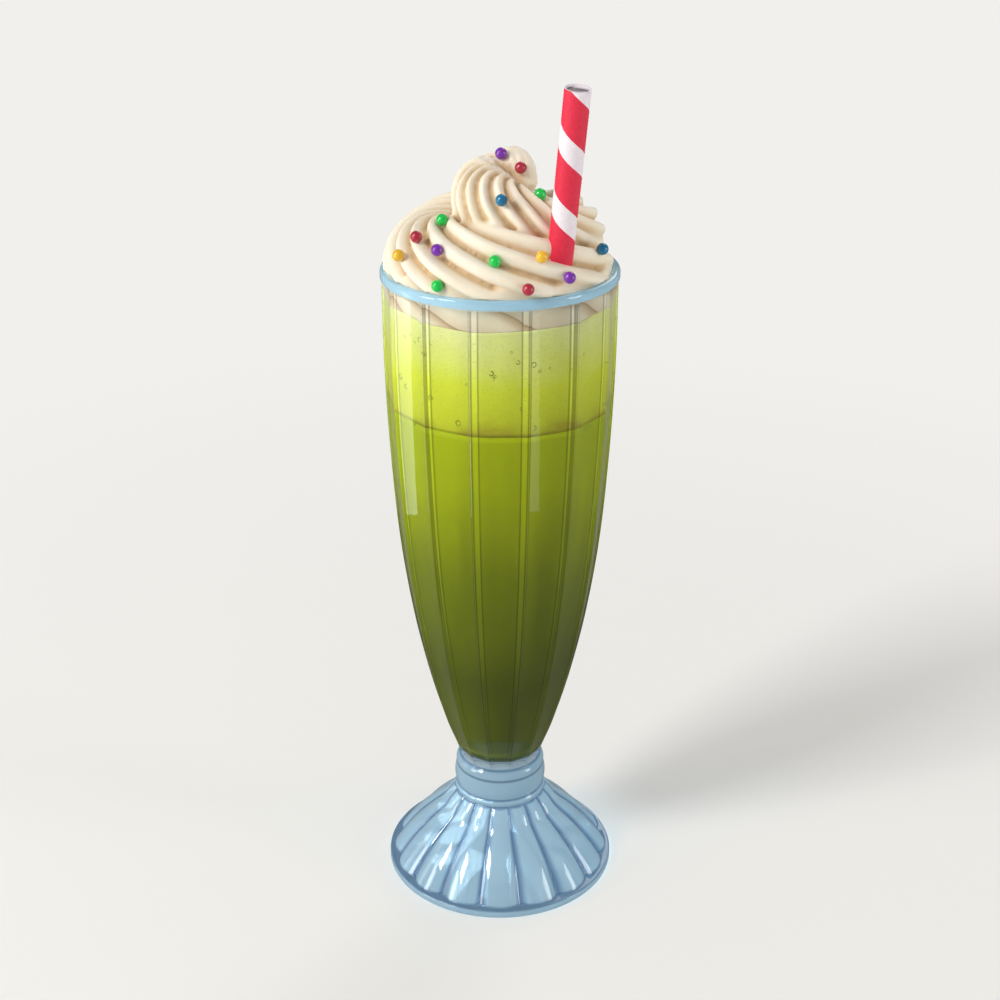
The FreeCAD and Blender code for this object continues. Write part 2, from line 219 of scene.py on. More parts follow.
def makeDaylight():              # even light, with the backdrop behind it for the camera
    world = bpy.data.worlds.new("daylight")
    world.use_nodes = True
    tree = world.node_tree
    tree.nodes.clear()
    path = addNode(tree, "LightPath")
    seen = addNode(tree, "Math", {"operation": "MAXIMUM"}, None,
                   {0: path.outputs["Is Camera Ray"],
                    1: path.outputs["Is Transmission Ray"]})
    mirrored = addNode(tree, "MapRange", None,
                       {"To Min": studio["daylight"], "To Max": studio["mirrored"]},
                       {"Value": path.outputs["Is Glossy Ray"]})
    even = addNode(tree, "Background", None, {"Color": linear("FFFFFF")},
                   {"Strength": mirrored})
    shown = addNode(tree, "Background", None,
                    {"Color": linear(studio["backdrop"]), "Strength": 1})
    both = addNode(tree, "MixShader", links={0: seen, 1: even, 2: shown})
    addNode(tree, "OutputWorld", links={"Surface": both})
    scene.world = world


def makeFloor():
    bm = bmesh.new()
    bmesh.ops.create_grid(bm, x_segments=1, y_segments=1, size=studio["floorSize"] / 2,
                          matrix=Matrix.Translation((0, 0, -studio["gap"])))
    mesh = bpy.data.meshes.new("floor")
    bm.to_mesh(mesh)
    bm.free()
    mesh.materials.append(floorMaterial())
    floor = bpy.data.objects.new("floor", mesh)
    scene.collection.objects.link(floor)


def floorMaterial():
    # matt emulsion on board: no gloss, and its far end passes into the backdrop
    material, tree = newMaterial("matt painted studio floor")
    path = addNode(tree, "LightPath")
    shade = addNode(tree, "Mix", {"data_type": "RGBA"},
                    {6: linear(studio["floorColour"]), 7: linear(studio["floorMirrored"])},
                    {"Factor": path.outputs["Is Glossy Ray"]})
    paint = addNode(tree, "BsdfPrincipled", None, {"Roughness": 0.9, "Specular IOR Level": 0.1},
                    {"Base Color": shade.outputs[2]})
    spot = addNode(tree, "TexCoord")
    away = addNode(tree, "VectorMath", {"operation": "LENGTH"}, None,
                   {0: spot.outputs["Object"]})
    fade = addNode(tree, "MapRange", {"interpolation_type": "SMOOTHSTEP"},
                   {"From Min": studio["fade"][0], "From Max": studio["fade"][1]},
                   {"Value": away.outputs["Value"]})
    shown = addNode(tree, "Math", {"operation": "MULTIPLY"}, None,
                    {0: fade, 1: path.outputs["Is Camera Ray"]})
    distance = addNode(tree, "Emission", None,
                       {"Color": linear(studio["backdrop"]), "Strength": 1})
    both = addNode(tree, "MixShader", links={0: shown, 1: paint, 2: distance})
    return surfaced(material, both)


glass = {                        # millimetres, and curves as shares of the way up and out
    "steps": 448,                # columns of faces round it: 32 a panel, 28 a petal
    "closer": 0.62,              # how much closer the columns lie at ribs and grooves
    "wall": 2.8,
    "lipHeight": 3, "lipWidth": 1.7, "lipRound": 0.75,
    "footHeight": 31, "shoulder": 17.2,      # the shoulder is the radius under the collar
    "petals": 16, "petalGroove": 2.1,
    "footCurve": [(0, 1), (0.07, 0.947), (0.21, 0.833), (0.39, 0.661), (0.57, 0.457),
                  (0.75, 0.227), (0.89, 0.11), (1, 0)],
    "collar": 16.5, "ringHeights": (3.1, 8.5, 4.1), "ringSwell": 0.85,
    "neck": 15.2, "rim": 40.3,
    "bowlCurve": [(0, 0), (0.038, 0.096), (0.1, 0.27), (0.193, 0.466), (0.317, 0.667),
                  (0.472, 0.837), (0.648, 0.942), (0.824, 0.996), (1, 1)],
    "bowlRound": 4, "roundLean": 20,         # rounded floor of the room: height, and its lean
    "beadHeight": 3.2, "beadOut": 0.45, "beadRound": 0.4, "rimRound": 1.18,
    "panels": 14, "rib": 1.7, "panelDish": 0.45,
    "panelStart": 3,             # height over the neck at which the panels are full
    "ribStep": 0.5, "ribShoulder": 0.5,      # the rib's own height and its soft sides
    "tints": ("B6D2E0", "FAFDFE", "FAFDFE", "A2D2F0"),       # foot, bowl from low to high, rim
    "clearness": ("C2C2C2", "FFFFFF", "FFFFFF", "B0B0B0"),   # the same, where white is clear
}
plainZone, bowlZone, footZone = 0, 1, 2      # how shapeGlass treats a point
neckHeight = glass["footHeight"] + sum(glass["ringHeights"])
beadBottom = rimTop - glass["beadHeight"]


def bowlLine(parts):             # the bowl's outside, from neck to rim
    reach, climb = glass["rim"] - glass["neck"], rimTop - neckHeight
    return [(glass["neck"] + reach * out, neckHeight + climb * up)
            for up, out in smoothLine(glass["bowlCurve"], parts)]


fineBowl = bowlLine(parts=24)


def bowlRadius(height):          # outside of the bowl at a height
    heights = [z for r, z in fineBowl]
    after = min(max(bisect.bisect(heights, height), 1), len(fineBowl) - 1)
    (lowR, lowZ), (highR, highZ) = fineBowl[after - 1], fineBowl[after]
    return lowR + (highR - lowR) * (height - lowZ) / (highZ - lowZ)


def roomRadius(height):          # inside of the bowl at a height
    return bowlRadius(height) - glass["wall"]


def floorLine(inset, parts):     # the room's rounded floor, from the axis to the wall
    low = drinkFloor - inset
    high = neckHeight + (rimTop - neckHeight) * glass["bowlCurve"][1][0]
    edge = roomRadius(high) + inset
    lean = math.radians(glass["roundLean"])
    radius = glass["bowlRound"] / (1 - math.sin(lean))
    centre = Vector((edge - radius * math.cos(lean), low + radius))
    first = -math.pi / 2
    last = math.atan2(high - centre.y, edge - centre.x)
    turns = [first + (last - first) * part / parts for part in range(parts + 1)]
    return [(0, low)] + [(centre.x + radius * math.cos(turn), centre.y + radius * math.sin(turn))
                         for turn in turns]


def ribbedRadius(radius, angle):     # a dished panel between two raised ribs
    sector = math.tau / glass["panels"]
    aside = abs((angle + sector / 2) % sector - sector / 2)
    half = sector / 2 - math.asin(glass["rib"] / 2 / glass["rim"])
    share = radius / glass["rim"]
    reach = min(aside, half)
    dish = glass["panelDish"] * share * (1 - (math.tan(reach) / math.tan(half)) ** 2)
    flat = radius * math.cos(half) / math.cos(reach) - dish
    shoulder = glass["ribShoulder"] / glass["rim"]
    into = min(max((half - aside) / shoulder, 0), 1)
    sunk = glass["ribStep"] * share * into * into * (3 - 2 * into)
    return flat - sunk if aside < half else radius


def petalRadius(radius, angle):      # round petals that meet in grooves
    step = math.tau / glass["petals"]
    aside = (angle + step / 2) % step - step / 2
    crestToCusp = 1 - glass["petalGroove"] / (footRadius - glass["lipWidth"])
    cusp = radius * crestToCusp
    rise = radius - cusp * math.cos(step / 2)
    curve = (rise ** 2 + (cusp * math.sin(step / 2)) ** 2) / (2 * rise)
    middle = radius - curve
    return middle * math.cos(aside) + math.sqrt(curve ** 2 - (middle * math.sin(aside)) ** 2)


def zoned(line, zone=plainZone):     # marks an outline's points for shapeGlass
    return [(x, z, zone) for x, z in line]


def glassOutline():              # (radius, height, zone) from the underside to the room's floor
    lip, lipRound = glass["lipHeight"], glass["lipRound"]
    line = zoned([(0, 0), (footRadius / 2, 0)])
    out = footRadius - lipRound
    line += zoned(cornerLine((out, lipRound), lipRound, -math.pi / 2, parts=5))
    line += zoned(cornerLine((out, lip - lipRound), lipRound, 0, parts=5))
    crest = footRadius - glass["lipWidth"]
    climb = glass["footHeight"] - lip
    line += [(glass["shoulder"] + (crest - glass["shoulder"]) * out, lip + climb * up, footZone)
             for up, out in smoothLine(glass["footCurve"], parts=5)]
    low = glass["footHeight"]
    tops = (glass["collar"], glass["collar"], glass["neck"])
    for high, top in zip(glass["ringHeights"], tops):
        line += zoned(arcLine((glass["collar"], low), (top, low + high), glass["ringSwell"],
                              parts=8))
        low += high
    line += zoned([(r, z) for r, z in bowlLine(parts=9)[1:] if z < beadBottom - 0.5], bowlZone)
    line.append((bowlRadius(beadBottom), beadBottom, bowlZone))
    lower, upper = glass["beadRound"], glass["rimRound"]
    out = glass["rim"] + glass["beadOut"]
    inner = glass["rim"] - glass["wall"]
    line += zoned(cornerLine((out - lower, beadBottom + lower), lower, -math.pi / 2, parts=3))
    line += zoned(cornerLine((out - upper, rimTop - upper), upper, 0, parts=6))
    line += zoned(cornerLine((inner + upper, rimTop - upper), upper, math.pi / 2, parts=6))
    parts = 6                    # the room starts at the second point of the bowl's curve
    line += zoned([(r - glass["wall"], z) for r, z in reversed(bowlLine(parts)[parts:])
                   if z < rimTop - upper - 1])
    return line + zoned(reversed(floorLine(0, parts)[:-1]))


def closerColumns(angle, count, middle):  # shifts columns towards ribs or grooves
    return angle - glass["closer"] / count * math.sin(count * (angle - middle))


def shapeGlass(bm, zone):        # presses the panels and the petals into the turned glass
    for vert in bm.verts:
        kind = vert[zone]
        radius = math.hypot(vert.co.x, vert.co.y)
        if kind == plainZone or radius < 0.01:
            continue
        count = glass["panels"] if kind == bowlZone else glass["petals"]
        angle = math.atan2(vert.co.y, vert.co.x) + math.pi / 2      # from the front
        angle = closerColumns(angle, count, math.pi / count)
        form = ribbedRadius if kind == bowlZone else petalRadius
        shaped = form(radius, angle)
        if kind == bowlZone:     # the panels begin softly above the neck
            into = min(1, (vert.co.z - neckHeight) / glass["panelStart"])
            shaped = radius + (shaped - radius) * into
        vert.co.x = shaped * math.sin(angle)
        vert.co.y = -shaped * math.cos(angle)


def makeGlass():
    bm = bmesh.new()
    zone = bm.verts.layers.int.new("zone")
    outline = glassOutline()
    verts, edges = lineOf(bm, [(x, z) for x, z, kind in outline])
    for vert, (x, z, kind) in zip(verts, outline):
        vert[zone] = kind
    turnRound(bm, verts, edges, glass["steps"])
    shapeGlass(bm, zone)
    makePiece("sodaGlass", bm, [glassMaterial()], replaced=["glass"])


def glassMaterial():
    # pressed soda-lime glass, fire polished: clear where it is thin, while the thick foot and
    # rim hold enough colour and fine seed to read as pale blue
    material, tree = newMaterial("pressed pale blue soda glass")
    place = placeIn(tree)
    parts = addNode(tree, "SeparateXYZ", links={"Vector": place})
    level = addNode(tree, "Math", {"operation": "DIVIDE"}, {1: rimTop}, {0: parts.outputs["Z"]})
    # the colour changes over the neck, and again at the bead
    heights = (neckHeight, neckHeight + 5, beadBottom - 0.5, beadBottom + 0.1)
    tint, clearness = (
        addNode(tree, "ValToRGB", links={"Fac": level},
                stops=[(height / rimTop, shade) for height, shade in zip(heights, glass[kind])])
        for kind in ("tints", "clearness"))
    # the glass's tint, times the painted shade of the foot's grooves and creases
    tintedAndShaded = addNode(tree, "Mix", multiply, {"Factor": 1},
                     {6: tint, 7: paintedGrooveShade(tree, place)})
    ripple = addNode(tree, "TexNoise", None,          # chill marks of the mould
                     {"Scale": 0.09, "Detail": 1.5}, {"Vector": place})
    bump = addNode(tree, "Bump", None, {"Strength": 0.05, "Distance": 0.0006},
                   {"Height": ripple})
    clear = addNode(tree, "BsdfPrincipled", None, {"Roughness": 0.015, "IOR": 1.52},
                    {"Base Color": tintedAndShaded.outputs[2], "Normal": bump,
                     "Transmission Weight": clearness})
    passes = addNode(tree, "BsdfTransparent", None, {"Color": linear("EEF6FA")})
    path = addNode(tree, "LightPath")
    both = addNode(tree, "MixShader", links={
        0: path.outputs["Is Shadow Ray"], 1: clear, 2: passes})
    depth = addNode(tree, "VolumeAbsorption", None, {"Color": linear("84C8E0"), "Density": 5})
    return surfaced(material, both, Volume=depth)


def turnOf(tree, place, first, second):      # height, and turn about the glass's axis
    parts = addNode(tree, "SeparateXYZ", links={"Vector": place})
    turn = addNode(tree, "Math", {"operation": "ARCTAN2"}, None,
                   {0: parts.outputs[first], 1: parts.outputs[second]})
    return parts.outputs["Z"], turn.outputs[0]


def paintedGrooveShade(tree, place):    # painted shade: the foot's grooves and the creases between its rings are darker than its crests
    height, turn = turnOf(tree, place, "X", "Y")
    count = addNode(tree, "Math", {"operation": "MULTIPLY_ADD"},
                    {1: glass["petals"] / math.tau, 2: 0.5}, {0: turn})
    share = addNode(tree, "Math", {"operation": "FRACT"}, None, {0: count})
    # painted shade at each groove, wider on one side of a petal
    petals = addNode(tree, "ValToRGB", links={"Fac": share}, stops=[
        (0, "7F8CA6"), (0.05, "A9B6CC"), (0.12, "FFFFFF"), (0.8, "FFFFFF"),
        (0.93, "A9B6CC"), (1, "7F8CA6")])
    onFoot = addNode(tree, "MapRange", None,
                     {"From Min": glass["footHeight"], "From Max": glass["footHeight"] - 0.5},
                     {"Value": height})
    overLip = addNode(tree, "MapRange", None,
                      {"From Min": glass["lipHeight"], "From Max": glass["lipHeight"] + 0.3},
                      {"Value": height})
    both = addNode(tree, "Math", {"operation": "MULTIPLY"}, None, {0: onFoot, 1: overLip})
    across = addNode(tree, "Mix", {"data_type": "RGBA"}, {6: linear("FFFFFF")},
                     {"Factor": both, 7: petals})
    top = neckHeight + 3         # just above the last crease
    level = addNode(tree, "Math", {"operation": "DIVIDE"}, {1: top}, {0: height})
    low = glass["footHeight"]
    creaseHeights = [glass["lipHeight"], low]
    for high in glass["ringHeights"]:
        low += high
        creaseHeights.append(low)
    # painted shade along each crease above the lip and between the rings
    stops = [(0, "FFFFFF")] + [
        ((crease + aside) / top, shade) for crease in creaseHeights
        for aside, shade in ((-0.7, "FFFFFF"), (0, "8E9AB2"), (0.9, "FFFFFF"))]
    along = addNode(tree, "ValToRGB", links={"Fac": level}, stops=stops)
    return addNode(tree, "Mix", multiply, {"Factor": 1},
                   {6: across.outputs[2], 7: along}).outputs[2]


def paintedRibLight(tree, place):       # painted light: each rib gathers the light, drawn as a bright line between two dark
    height, turn = turnOf(tree, place, "X", "Y")
    count = addNode(tree, "Math", {"operation": "MULTIPLY"},
                    {1: glass["panels"] / math.tau}, {0: turn})
    aside = addNode(tree, "Math", {"operation": "PINGPONG"}, {1: 0.5}, {0: count})
    level = addNode(tree, "Math", {"operation": "MULTIPLY"}, {1: 2}, {0: aside})
    edge = glass["panels"] / math.tau * glass["rib"] / glass["rim"]     # half a rib's share
    return addNode(tree, "ValToRGB", links={"Fac": level}, stops=[
        (0, "F0F0F0"), (1 - edge * 2.0, "EAEAEA"), (1 - edge * 1.5, "B4B4B4"),
        (1 - edge * 1.0, "BCBCBC"), (1 - edge * 0.6, "FFFFFF")]).outputs["Color"]


drink = {                        # millimetres
    "steps": 168,
    "intoWall": 0.2,             # how far the drink reaches into the wall, so no air shows
    "shakeWave": (1.4, 0.9, 2.4),            # wave of an edge: height, spread and seed
    "creamWave": (0.9, 1.9, 7.3),
    "creamRise": 1.2,            # how much the cream's edge rises from the front to the sides
    "creamTurn": 0.05,           # where it is lowest, in radians from the front
    "levelReach": 6, "wallReach": 4,         # more keeps a wave closer to its level and the wall
    "shakeColours": [(0.0, "626A02"), (0.28, "555E03"), (0.6, "7A8404"), (0.85, "A5AF06"),
                     (1.0, "AEB90A")],
    "frothColours": [(0.0, "B4AB30"), (0.05, "C1C22E"), (0.12, "CCD032"), (0.45, "DADF40"),
                     (0.8, "E4E786"), (1.0, "EAEBA0")],
}


def waveAt(angle, height, spread, seed):     # a smooth wave that closes round the glass
    return height * noise.noise(Vector((math.cos(angle) * spread, math.sin(angle) * spread,
                                        seed)))


def shakeEdge(angle):            # the line between shake and froth
    return shakeTop + waveAt(angle, *drink["shakeWave"])


def creamLevel(angle):           # lowest edge of the cream, seen through the glass
    front = math.cos(angle + math.pi / 2 - drink["creamTurn"])
    return foamTop + drink["creamRise"] * (1 - front) + waveAt(angle, *drink["creamWave"])


def layerOutline(low, high, rows):           # one level of the drink, from axis to axis
    line = [(0, low)]
    if low <= drinkFloor:
        line = floorLine(drink["intoWall"], parts=6)
        low = line[-1][1]
    heights = [low + (high - low) * row / rows for row in range(rows + 1)]
    line += [(roomRadius(height) + drink["intoWall"], height) for height in heights]
    return line + [(0, high)]


def makeLayer(name, low, high, rows, material, node, lowEdge, highEdge):
    bm = bmesh.new()
    verts, edges = lineOf(bm, layerOutline(low, high, rows))
    turnRound(bm, verts, edges, drink["steps"])
    for vert in bm.verts:        # its ends follow their wavy lines, near the wall only
        angle = math.atan2(vert.co.y, vert.co.x)
        near = min(1, math.hypot(vert.co.x, vert.co.y) / roomRadius(vert.co.z))
        share = min(max((vert.co.z - low) / (high - low), 0), 1)
        shift = (highEdge(angle) - high) * share ** drink["levelReach"]
        if lowEdge:
            shift += (lowEdge(angle) - low) * (1 - share) ** drink["levelReach"]
        vert.co.z += shift * near ** drink["wallReach"]
    makePiece(name, bm, [material], replaced=[node])


def makeDrink():
    makeLayer("darkShake", drinkFloor, shakeTop, 60, shakeMaterial(),
              "matcha_shake", None, shakeEdge)
    makeLayer("paleFroth", shakeTop, foamTop, 26, frothMaterial(),
              "matcha_foam", shakeEdge, creamLevel)


def levelColour(tree, place, low, high, streaks, sway, colours):
    # colours from one level up to another, where streaks of a noise sway them
    parts = addNode(tree, "SeparateXYZ", links={"Vector": place})
    level = addNode(tree, "MapRange", None, {"From Min": low, "From Max": high},
                    {"Value": parts.outputs["Z"]})
    swayed = addNode(tree, "Math", {"operation": "MULTIPLY_ADD"},
                     {1: sway, 2: -sway / 2}, {0: streaks})
    mixed = addNode(tree, "Math", {"operation": "ADD"}, None, {0: level, 1: swayed})
    return addNode(tree, "ValToRGB", links={"Fac": mixed}, stops=colours).outputs["Color"]


def shakeMaterial():
    # ground green tea in thick milk: opaque and wet, darker towards the bottom
    material, tree = newMaterial("dark matcha shake")
    place = placeIn(tree)
    stretched = addNode(tree, "Mapping", None, {"Scale": (1, 1, 0.22)}, {"Vector": place})
    streaks = addNode(tree, "TexNoise", None,         # stirred powder
                      {"Scale": 0.06, "Detail": 3, "Distortion": 0.8},
                      {"Vector": stretched})
    colour = levelColour(tree, place, drinkFloor, shakeTop, streaks, sway=0.22,
                         colours=drink["shakeColours"])
    # the shake's colour, times the painted light and shade of the ribs
    ribLitColour = addNode(tree, "Mix", multiply, {"Factor": 1},
                     {6: colour, 7: paintedRibLight(tree, place)})
    grains = addNode(tree, "TexNoise", None, {"Scale": 1.6, "Detail": 2},
                     {"Vector": place})                         # tea powder, 0.6 mm
    bump = addNode(tree, "Bump", None, {"Strength": 0.15, "Distance": 0.0001},
                   {"Height": grains})
    body = addNode(tree, "BsdfPrincipled", None,
                   {"Roughness": 0.38, "IOR": 1.34, "Specular IOR Level": 0.08,
                    "Subsurface Weight": 0.15, "Subsurface Radius": (0.9, 1, 0.25),
                    "Subsurface Scale": 0.0015},
                   {"Base Color": ribLitColour.outputs[2], "Normal": bump})
    return surfaced(material, body)


def frothMaterial():
    # whisked matcha froth: pale, matt and full of fine bubbles, darker towards the bottom
    material, tree = newMaterial("pale matcha froth")
    place = placeIn(tree)
    clouds = addNode(tree, "TexNoise", None,
                     {"Scale": 0.07, "Detail": 3, "Distortion": 0.5}, {"Vector": place})
    colour = levelColour(tree, place, shakeTop, foamTop, clouds, sway=0.34,
                         colours=drink["frothColours"])
    fizz = addNode(tree, "TexVoronoi", None, {"Scale": 0.9}, {"Vector": place})
    specks = addNode(tree, "MapRange", None,
                     {"From Min": 0.05, "From Max": 0.3, "To Min": 0.82, "To Max": 1},
                     {"Value": fizz})       # bubbles 1 mm apart
    speckled = addNode(tree, "Mix", multiply, {"Factor": 1}, {6: colour, 7: specks})
    # the froth's colour, times the painted light and shade of the ribs
    ribLitColour = addNode(tree, "Mix", multiply, {"Factor": 1},
                     {6: speckled.outputs[2], 7: paintedRibLight(tree, place)})
    bump = addNode(tree, "Bump", None, {"Strength": 0.3, "Distance": 0.0002}, {"Height": fizz})
    body = addNode(tree, "BsdfPrincipled", None,
                   {"Roughness": 0.5, "IOR": 1.34, "Specular IOR Level": 0.08,
                    "Subsurface Weight": 0.25, "Subsurface Radius": (1, 1, 0.4),
                    "Subsurface Scale": 0.002},
                   {"Base Color": ribLitColour.outputs[2], "Normal": bump})
    return surfaced(material, body)


bubble = {                       # millimetres
    "count": 90, "seed": 5,
    "small": 0.4, "large": 0.9,  # radii
    "ringThickness": 0.22,                # thickness of its ring, as a share of its radius
    "low": (-2, 5), "lowShare": 0.25,        # drained ones, about the shake's top
    "high": (6, -5),             # the rest, from the shake's top and the froth's
    "ring": (0.55, 0.95),        # share of a full ring that the painted shade makes
}


def rimShadeRing(bm, radius, turn):  # a thin ring of painted shade, open on one side
    made = bmesh.ops.create_circle(bm, segments=10, radius=radius * bubble["ringThickness"])["verts"]
    bmesh.ops.rotate(bm, verts=made, cent=(0, 0, 0),
                     matrix=Matrix.Rotation(math.pi / 2, 3, "X"))
    bmesh.ops.translate(bm, verts=made, vec=(radius, 0, 0))
    edges = list({edge for vert in made for edge in vert.link_edges})
    turned = bmesh.ops.spin(bm, geom=made + edges, cent=(0, 0, 0), axis=(0, 0, 1), angle=turn,
                            steps=12, use_merge=False, use_duplicate=False)
    ends = [item for item in turned["geom_last"] if isinstance(item, bmesh.types.BMEdge)]
    bmesh.ops.holes_fill(bm, edges=ends + edges, sides=12)
    ring, todo = set(made), list(made)
    while todo:                  # every vertex joined to the first circle
        for edge in todo.pop().link_edges:
            fresh = [vert for vert in edge.verts if vert not in ring]
            ring.update(fresh)
            todo += fresh
    return list(ring)


def makeBubbles():               # larger bubbles of the froth, pressed against the glass, drawn as rings of painted shade
    rng = random.Random(bubble["seed"])
    bm = bmesh.new()
    for number in range(bubble["count"]):
        if rng.random() < bubble["lowShare"]:
            height = shakeTop + rng.uniform(*bubble["low"])
        else:
            height = rng.uniform(shakeTop + bubble["high"][0], foamTop + bubble["high"][1])
        angle = rng.uniform(0, math.tau)
        radius = bubble["small"] + (bubble["large"] - bubble["small"]) * rng.random() ** 2
        ring = rimShadeRing(bm, radius, math.tau * rng.uniform(*bubble["ring"]))
        away = roomRadius(height) + drink["intoWall"]
        turn = (Matrix.Rotation(angle, 3, "Z") @ Matrix.Rotation(math.pi / 2, 3, "Y")
                @ Matrix.Rotation(rng.uniform(0, math.tau), 3, "Z"))
        bmesh.ops.rotate(bm, verts=ring, cent=(0, 0, 0), matrix=turn)
        bmesh.ops.translate(bm, verts=ring, vec=(away * math.cos(angle),
                                                 away * math.sin(angle), height))
    bmesh.ops.recalc_face_normals(bm, faces=bm.faces)
    makePiece("frothBubbles", bm, [bubbleRimShadeMaterial()])


def bubbleRimShadeMaterial():
    # painted shade: a dark ring stands for the shade at a bubble's rim, darker than the froth
    material, tree = newMaterial("painted shade round a bubble")
    place = placeIn(tree)
    shade = addNode(tree, "TexNoise", None, {"Scale": 0.3}, {"Vector": place})
    colour = addNode(tree, "ValToRGB", links={"Fac": shade},
                     stops=[(0.3, "8C9A1C"), (0.7, "6F7C12")])
    body = addNode(tree, "BsdfPrincipled", None, {"Roughness": 0.3, "IOR": 1.34},
                   {"Base Color": colour})
    return surfaced(material, body)


cream = {                        # millimetres
    "height": 40.5,              # rim to the top of the swirl
    "ridges": 12,
    "groove": 0.35,              # depth of a groove, as a share of the rope's radius
    "ridgeShape": 0.7,           # under 1 gives wide ridges and narrow grooves
    "across": 10,                # vertices from one ridge to the next
    "stations": 16,              # rings between two points of the swirl
    # the rope from above, turning clockwise from the right: degrees, reach and thickness as
    # shares of the rim's radius, height as a share of the cream's, roll of the nozzle
    "swirl": [(-22, 0.546, 0.372, -0.10, 0), (22, 0.54, 0.442, 0.0, 25),
              (112, 0.54, 0.447, 0.08, 95), (180, 0.54, 0.447, 0.03, 195),
              (245, 0.51, 0.397, 0.155, 310), (290, 0.51, 0.372, 0.16, 370),
              (337, 0.54, 0.372, 0.207, 415), (382, 0.514, 0.332, 0.27, 460),
              (427, 0.36, 0.323, 0.425, 530), (472, 0.22, 0.31, 0.56, 600),
              (517, 0.134, 0.28, 0.642, 670), (607, 0.065, 0.231, 0.726, 800),
              (652, 0.082, 0.201, 0.775, 860), (700, 0.129, 0.149, 0.845, 915),
              (728, 0.2, 0.119, 0.778, 940), (742, 0.268, 0.067, 0.68, 950)],
    "ball": (0.36, 0.33),        # filling in the coil's middle: height and radius, as shares
    "plug": (2.6, 3),            # the pressed part, above the rim and below the froth's top
    "intoWall": 0.25,
    "clearOfRim": 0.3,           # height over the rim from which the swirl is free of it
    "overRim": 0.27,             # how far the swirl may reach past the rim there
    "tuck": 0.3,                 # how far its lower edge goes under the level that shows
    "grid": 0.62,                # size of the faces after the rope is joined up
    "softened": 4,               # rounds that take the stairs off the grooves
    "hollowRounds": 16, "hollowBlur": 10,    # rounds that find and blur the grooves' painted shade
    "hollowDepth": 0.42,         # how far smoothing lifts a point in full shade
    "folds": 9, "foldSlant": 0.07,           # painted crease shade where it is pressed against the wall
}


def ropePath():                  # (centre, radius, roll) along the piped rope
    path = []
    for turn, reach, thick, high, roll in smoothLine(cream["swirl"], cream["stations"]):
        angle = math.radians(-turn)
        away = reach * glass["rim"]
        path.append((Vector((away * math.cos(angle), away * math.sin(angle),
                             rimTop + high * cream["height"])),
                     thick * glass["rim"], math.radians(roll)))
    return path


def starRing(bm):                # the nozzle's star, one millimetre in radius
    count = cream["ridges"] * cream["across"]
    ring = bmesh.ops.create_circle(bm, segments=count, radius=1)["verts"]
    for vert in ring:
        angle = math.atan2(vert.co.y, vert.co.x)
        ridge = abs(math.cos(angle * cream["ridges"] / 2))
        vert.co *= 1 - cream["groove"] * (1 - ridge ** cream["ridgeShape"])
    return ring


def layRing(bm, ring, centre, radius, roll, forward):        # faces the ring along the rope
    up = (Vector((0, 0, 1)) - forward * forward.z).normalized()
    side = forward.cross(up)
    facing = Matrix((side, up, forward)).transposed().to_4x4()
    place = (Matrix.Translation(centre) @ facing
             @ Matrix.Rotation(-roll, 4, "Z") @ Matrix.Scale(radius, 4))
    bmesh.ops.transform(bm, matrix=place, verts=ring)
    return place


def pipeRope(bm):                # the star, extruded along the swirl
    path = ropePath()
    ring = starRing(bm)
    edges = list({edge for vert in ring for edge in vert.link_edges})
    bmesh.ops.contextual_create(bm, geom=edges)      # closes the rope's start
    placed = Matrix.Identity(4)
    for number, (centre, radius, roll) in enumerate(path):
        ahead = path[min(number + 1, len(path) - 1)][0]
        behind = path[max(number - 1, 0)][0]
        forward = (ahead - behind).normalized()
        if number:
            made = bmesh.ops.extrude_edge_only(bm, edges=edges)["geom"]
            ring = [item for item in made if isinstance(item, bmesh.types.BMVert)]
            edges = [item for item in made if isinstance(item, bmesh.types.BMEdge)
                     and all(vert in set(ring) for vert in item.verts)]
            bmesh.ops.transform(bm, matrix=placed.inverted(), verts=ring)
        placed = layRing(bm, ring, centre, radius, roll, forward)
    bmesh.ops.contextual_create(bm, geom=edges)      # and its tip


def makeCreamForm():             # rope, filling and the cream pressed down into the glass
    bm = bmesh.new()
    pipeRope(bm)
    high, wide = cream["ball"]
    bmesh.ops.create_icosphere(bm, subdivisions=4, radius=wide * glass["rim"],
                               matrix=Matrix.Translation((0, 0, rimTop + high * cream["height"])))
    top, bottom = rimTop + cream["plug"][0], foamTop - cream["plug"][1]
    wide = roomRadius(rimTop) + cream["intoWall"]
    bmesh.ops.create_cone(bm, cap_ends=True, segments=180, radius1=wide, radius2=wide,
                          depth=top - bottom,
                          matrix=Matrix.Translation((0, 0, (top + bottom) / 2)))
    bmesh.ops.recalc_face_normals(bm, faces=bm.faces)
    rough = bpy.data.meshes.new("cream form")
    bm.to_mesh(rough)
    bm.free()
    return rough


def joinUp(rough, grid):         # one skin over everything that overlaps
    holder = bpy.data.objects.new("cream form", rough)
    scene.collection.objects.link(holder)
    remesh = holder.modifiers.new("join", "REMESH")
    remesh.mode = "VOXEL"
    remesh.voxel_size = grid
    solid = holder.evaluated_get(bpy.context.evaluated_depsgraph_get())
    bm = bmesh.new()
    bm.from_mesh(solid.to_mesh())
    bpy.data.objects.remove(holder)
    return bm


